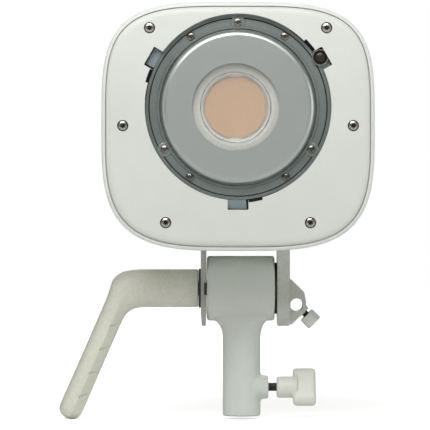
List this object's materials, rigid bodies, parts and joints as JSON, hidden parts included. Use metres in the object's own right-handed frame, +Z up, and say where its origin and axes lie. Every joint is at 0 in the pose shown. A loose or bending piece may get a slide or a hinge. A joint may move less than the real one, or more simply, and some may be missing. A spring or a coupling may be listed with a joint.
{
  "type": "monolight",
  "caption": "Rounded-square white LED studio monolight with a bayonet front, a tilting yoke with a side handle, an umbrella hole and a stand receiver.",
  "frame": {"origin": "centre of the stand socket's mouth", "axes": "+Z up along the stand, -Y out of the light's front, +X to the right seen from the front"},
  "size_m": [0.2084, 0.1945, 0.2754],
  "materials": {
    "case_white": "satin cool white moulding",
    "plate_white": "satin cool white paint",
    "metal_white": "satin white paint on a casting",
    "grip_white": "warm white moulding",
    "ring_grey": "blue-grey anodised",
    "cover_satin": "fine bead-blasted satin",
    "glass": "clear",
    "source_white": "translucent white",
    "board_metal": "satin",
    "phosphor": "peach silicone",
    "black_plastic": "fine-grained black",
    "black_rubber": "matt",
    "black_steel": "black oxide",
    "bright_steel": "nickel plated",
    "brass": "turned",
    "copper": "bare copper",
    "sink_alloy": "extruded",
    "frame_alloy": "mill finish",
    "board_green": "solder mask",
    "parts_dark": "component cases",
    "panel_dark": "textured dark grey",
    "display_black": "gloss",
    "rocker_black": "satin"
  },
  "bodies": {
    "stand_receiver": {"receiver": "metal_white", "barrel_bush": "brass", "clamp_insert": "brass"},
    "lamp_head": {"upper_shell": "case_white", "lower_shell": "case_white", "front_plate": "plate_white", "front_screws": "bright_steel", "bayonet_ring": "ring_grey", "bayonet_screws": "bright_steel", "pin_bush": "black_rubber", "pin_spring": "bright_steel", "reflector_cover": "cover_satin", "window_glass": "glass", "window_seal": "black_rubber", "source_ring": "source_white", "source_board": "board_metal", "phosphor": "phosphor", "front_frame": "frame_alloy", "heat_spreader": "copper", "heat_pipes": "copper", "heatsink": "sink_alloy", "fan_frame": "black_plastic", "fan_bearing": "brass", "power_board": "board_green", "power_parts": "parts_dark", "control_board": "board_green", "control_switches": "parts_dark", "rear_panel": "panel_dark", "rear_screws": "black_steel", "display_window": "display_black", "inlet_body": "black_plastic", "inlet_pins": "bright_steel", "switch_frame": "black_plastic", "yoke_base": "frame_alloy", "yoke_screws": "bright_steel", "yoke_plate_left": "metal_white", "yoke_arm_right": "metal_white", "friction_washers": "black_rubber", "tilt_nut": "bright_steel", "handle_washer": "black_rubber"},
    "tilt_handle": {"handle_grip": "grip_white", "tilt_bolt": "bright_steel"},
    "clamp_pad_slide": {"clamp_pad": "brass"},
    "clamp_knob_turn": {"clamp_stud": "black_steel", "clamp_knob": "grip_white"},
    "umbrella_tip_slide": {"umbrella_tip": "black_steel"},
    "umbrella_knob_turn": {"umbrella_stud": "black_steel", "umbrella_cap": "metal_white"},
    "bayonet_release": {"lock_pin": "bright_steel", "release_slider": "black_plastic"},
    "fan": {"fan_rotor": "black_plastic"},
    "dial_left_push": {"dial_left_shaft": "bright_steel"},
    "dial_left_turn": {"dial_left_knob": "black_plastic"},
    "dial_right_push": {"dial_right_shaft": "bright_steel"},
    "dial_right_turn": {"dial_right_knob": "black_plastic"},
    "button_left": {"button_left": "black_plastic"},
    "button_middle": {"button_middle": "black_plastic"},
    "button_right": {"button_right": "black_plastic"},
    "power_rocker": {"power_rocker": "rocker_black"}
  },
  "joints": [
    {"name": "head_tilt", "type": "hinge", "parent": "stand_receiver", "child": "lamp_head", "pos_m": [0, 0, 0.0858], "axis": [1, 0, 0], "range_deg": [-90, 90]},
    {"name": "handle_turn", "type": "hinge", "parent": "lamp_head", "child": "tilt_handle", "pos_m": [0, 0, 0.0858], "axis": [1, 0, 0], "range_deg": [-90, 90]},
    {"name": "clamp_travel", "type": "slide", "parent": "stand_receiver", "child": "clamp_pad_slide", "axis": [1, 0, 0], "range_m": [-0.004, 0.003]},
    {"name": "clamp_turn", "type": "hinge", "parent": "clamp_pad_slide", "child": "clamp_knob_turn", "pos_m": [0.0235, 0, 0.0194], "axis": [1, 0, 0], "range_deg": [-1455, 1095]},
    {"name": "umbrella_travel", "type": "slide", "parent": "lamp_head", "child": "umbrella_tip_slide", "axis": [0.7071, 0, -0.7071], "range_m": [-0.0018, 0.002]},
    {"name": "umbrella_turn", "type": "hinge", "parent": "umbrella_tip_slide", "child": "umbrella_knob_turn", "pos_m": [0.0368, 0, 0.0748], "axis": [0.7071, 0, -0.7071], "range_deg": [-660, 732]},
    {"name": "pin_release", "type": "slide", "parent": "lamp_head", "child": "bayonet_release", "axis": [0, 1, 0], "range_m": [0, 0.005], "stiffness_N_per_m": 500, "springref_m": -0.002, "deforming": ["pin_spring"]},
    {"name": "fan_spin", "type": "hinge", "parent": "lamp_head", "child": "fan", "pos_m": [-0.0029, -0.004, 0.2034], "axis": [0, 1, 0], "continuous": true},
    {"name": "dial_left_press", "type": "slide", "parent": "lamp_head", "child": "dial_left_push", "axis": [0, -1, 0], "range_m": [0, 0.001], "stiffness_N_per_m": 1500, "springref_m": -0.0005},
    {"name": "dial_left_spin", "type": "hinge", "parent": "dial_left_push", "child": "dial_left_turn", "pos_m": [-0.0459, 0.093, 0.1806], "axis": [0, -1, 0], "continuous": true},
    {"name": "dial_right_press", "type": "slide", "parent": "lamp_head", "child": "dial_right_push", "axis": [0, -1, 0], "range_m": [0, 0.001], "stiffness_N_per_m": 1500, "springref_m": -0.0005},
    {"name": "dial_right_spin", "type": "hinge", "parent": "dial_right_push", "child": "dial_right_turn", "pos_m": [0.0401, 0.093, 0.1806], "axis": [0, -1, 0], "continuous": true},
    {"name": "button_left_press", "type": "slide", "parent": "lamp_head", "child": "button_left", "axis": [0, -1, 0], "range_m": [0, 0.001], "stiffness_N_per_m": 1200, "springref_m": -0.0005},
    {"name": "button_middle_press", "type": "slide", "parent": "lamp_head", "child": "button_middle", "axis": [0, -1, 0], "range_m": [0, 0.001], "stiffness_N_per_m": 1200, "springref_m": -0.0005},
    {"name": "button_right_press", "type": "slide", "parent": "lamp_head", "child": "button_right", "axis": [0, -1, 0], "range_m": [0, 0.001], "stiffness_N_per_m": 1200, "springref_m": -0.0005},
    {"name": "power_tip", "type": "hinge", "parent": "lamp_head", "child": "power_rocker", "pos_m": [0.0211, 0.09, 0.1496], "axis": [1, 0, 0], "range_deg": [-14, 0]}
  ],
  "couplings": [
    {"joint": "clamp_turn", "follows": "clamp_travel", "rad_per_m": 6283.2},
    {"joint": "umbrella_turn", "follows": "umbrella_travel", "rad_per_m": 6283.2}
  ]
}
